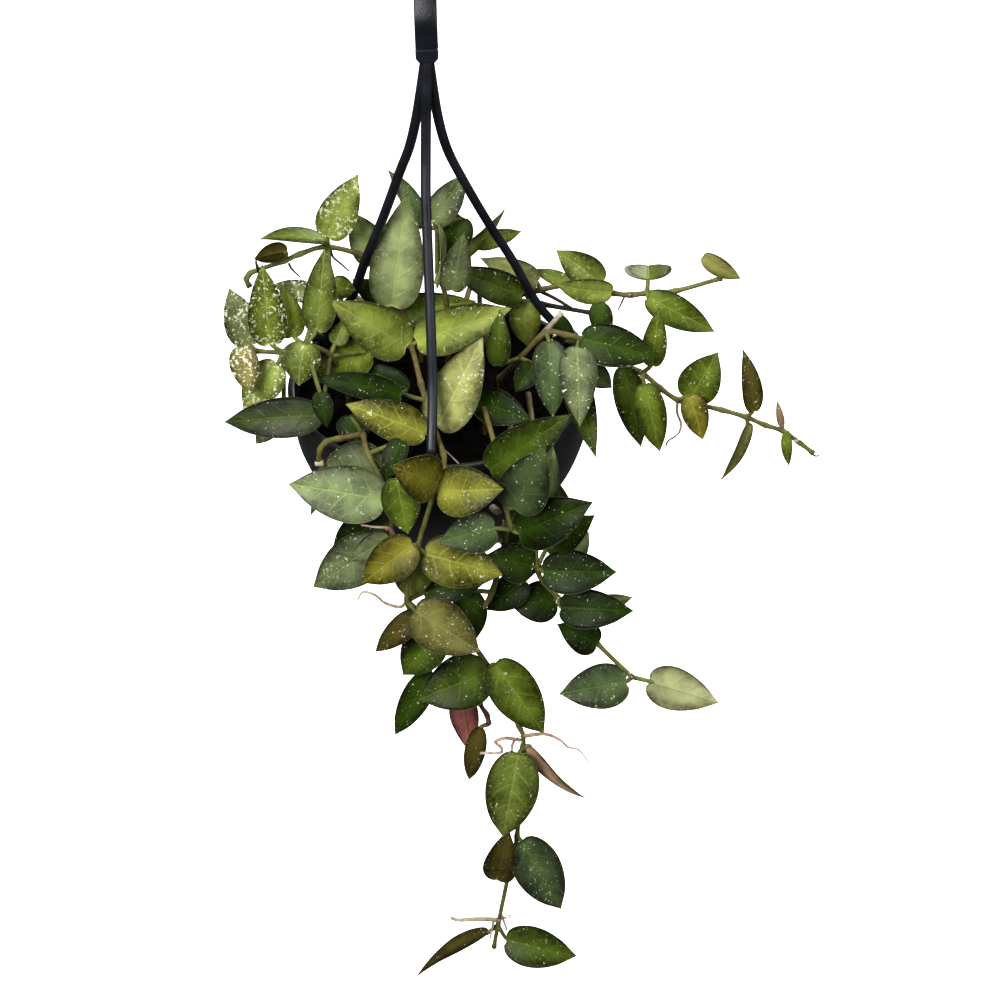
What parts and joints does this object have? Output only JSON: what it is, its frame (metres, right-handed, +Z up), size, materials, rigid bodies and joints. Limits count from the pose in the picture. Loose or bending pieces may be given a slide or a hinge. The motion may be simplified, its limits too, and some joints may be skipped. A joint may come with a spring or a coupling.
{
  "type": "potted trailing wax plant in a hanging pot",
  "caption": "Trailing wax plant with waxy, flecked heart-shaped leaves in a round black hanging pot, held by a plastic hanger whose strands meet at a hook.",
  "frame": {"origin": "underside of the hook's crown, where it bears on its rail; the pot's axis passes through it", "axes": "+Z up; -Y towards the side that the picture shows; +X to the right seen from there"},
  "size_m": [0.2944, 0.2311, 0.5709],
  "materials": {
    "hanger_plastic": "satin, blue-black",
    "pot_plastic": "satin, charcoal black",
    "potting_mix": "crumbly, dark and damp",
    "plant": "waxy satin, flecked with cream"
  },
  "bodies": {
    "root": {"hanger": "hanger_plastic", "pot": "pot_plastic", "potting_mix": "potting_mix", "vine_centre": "plant", "vine_long": "plant", "vine_right_low": "plant", "vine_front_right": "plant", "vine_front_left": "plant", "vine_left": "plant", "vine_low_middle": "plant", "vine_upper_left": "plant", "vine_top": "plant", "vine_right_top": "plant", "vine_right": "plant", "vine_back_1": "plant", "vine_back_2": "plant", "vine_back_3": "plant", "vine_back_4": "plant"}
  },
  "joints": []
}
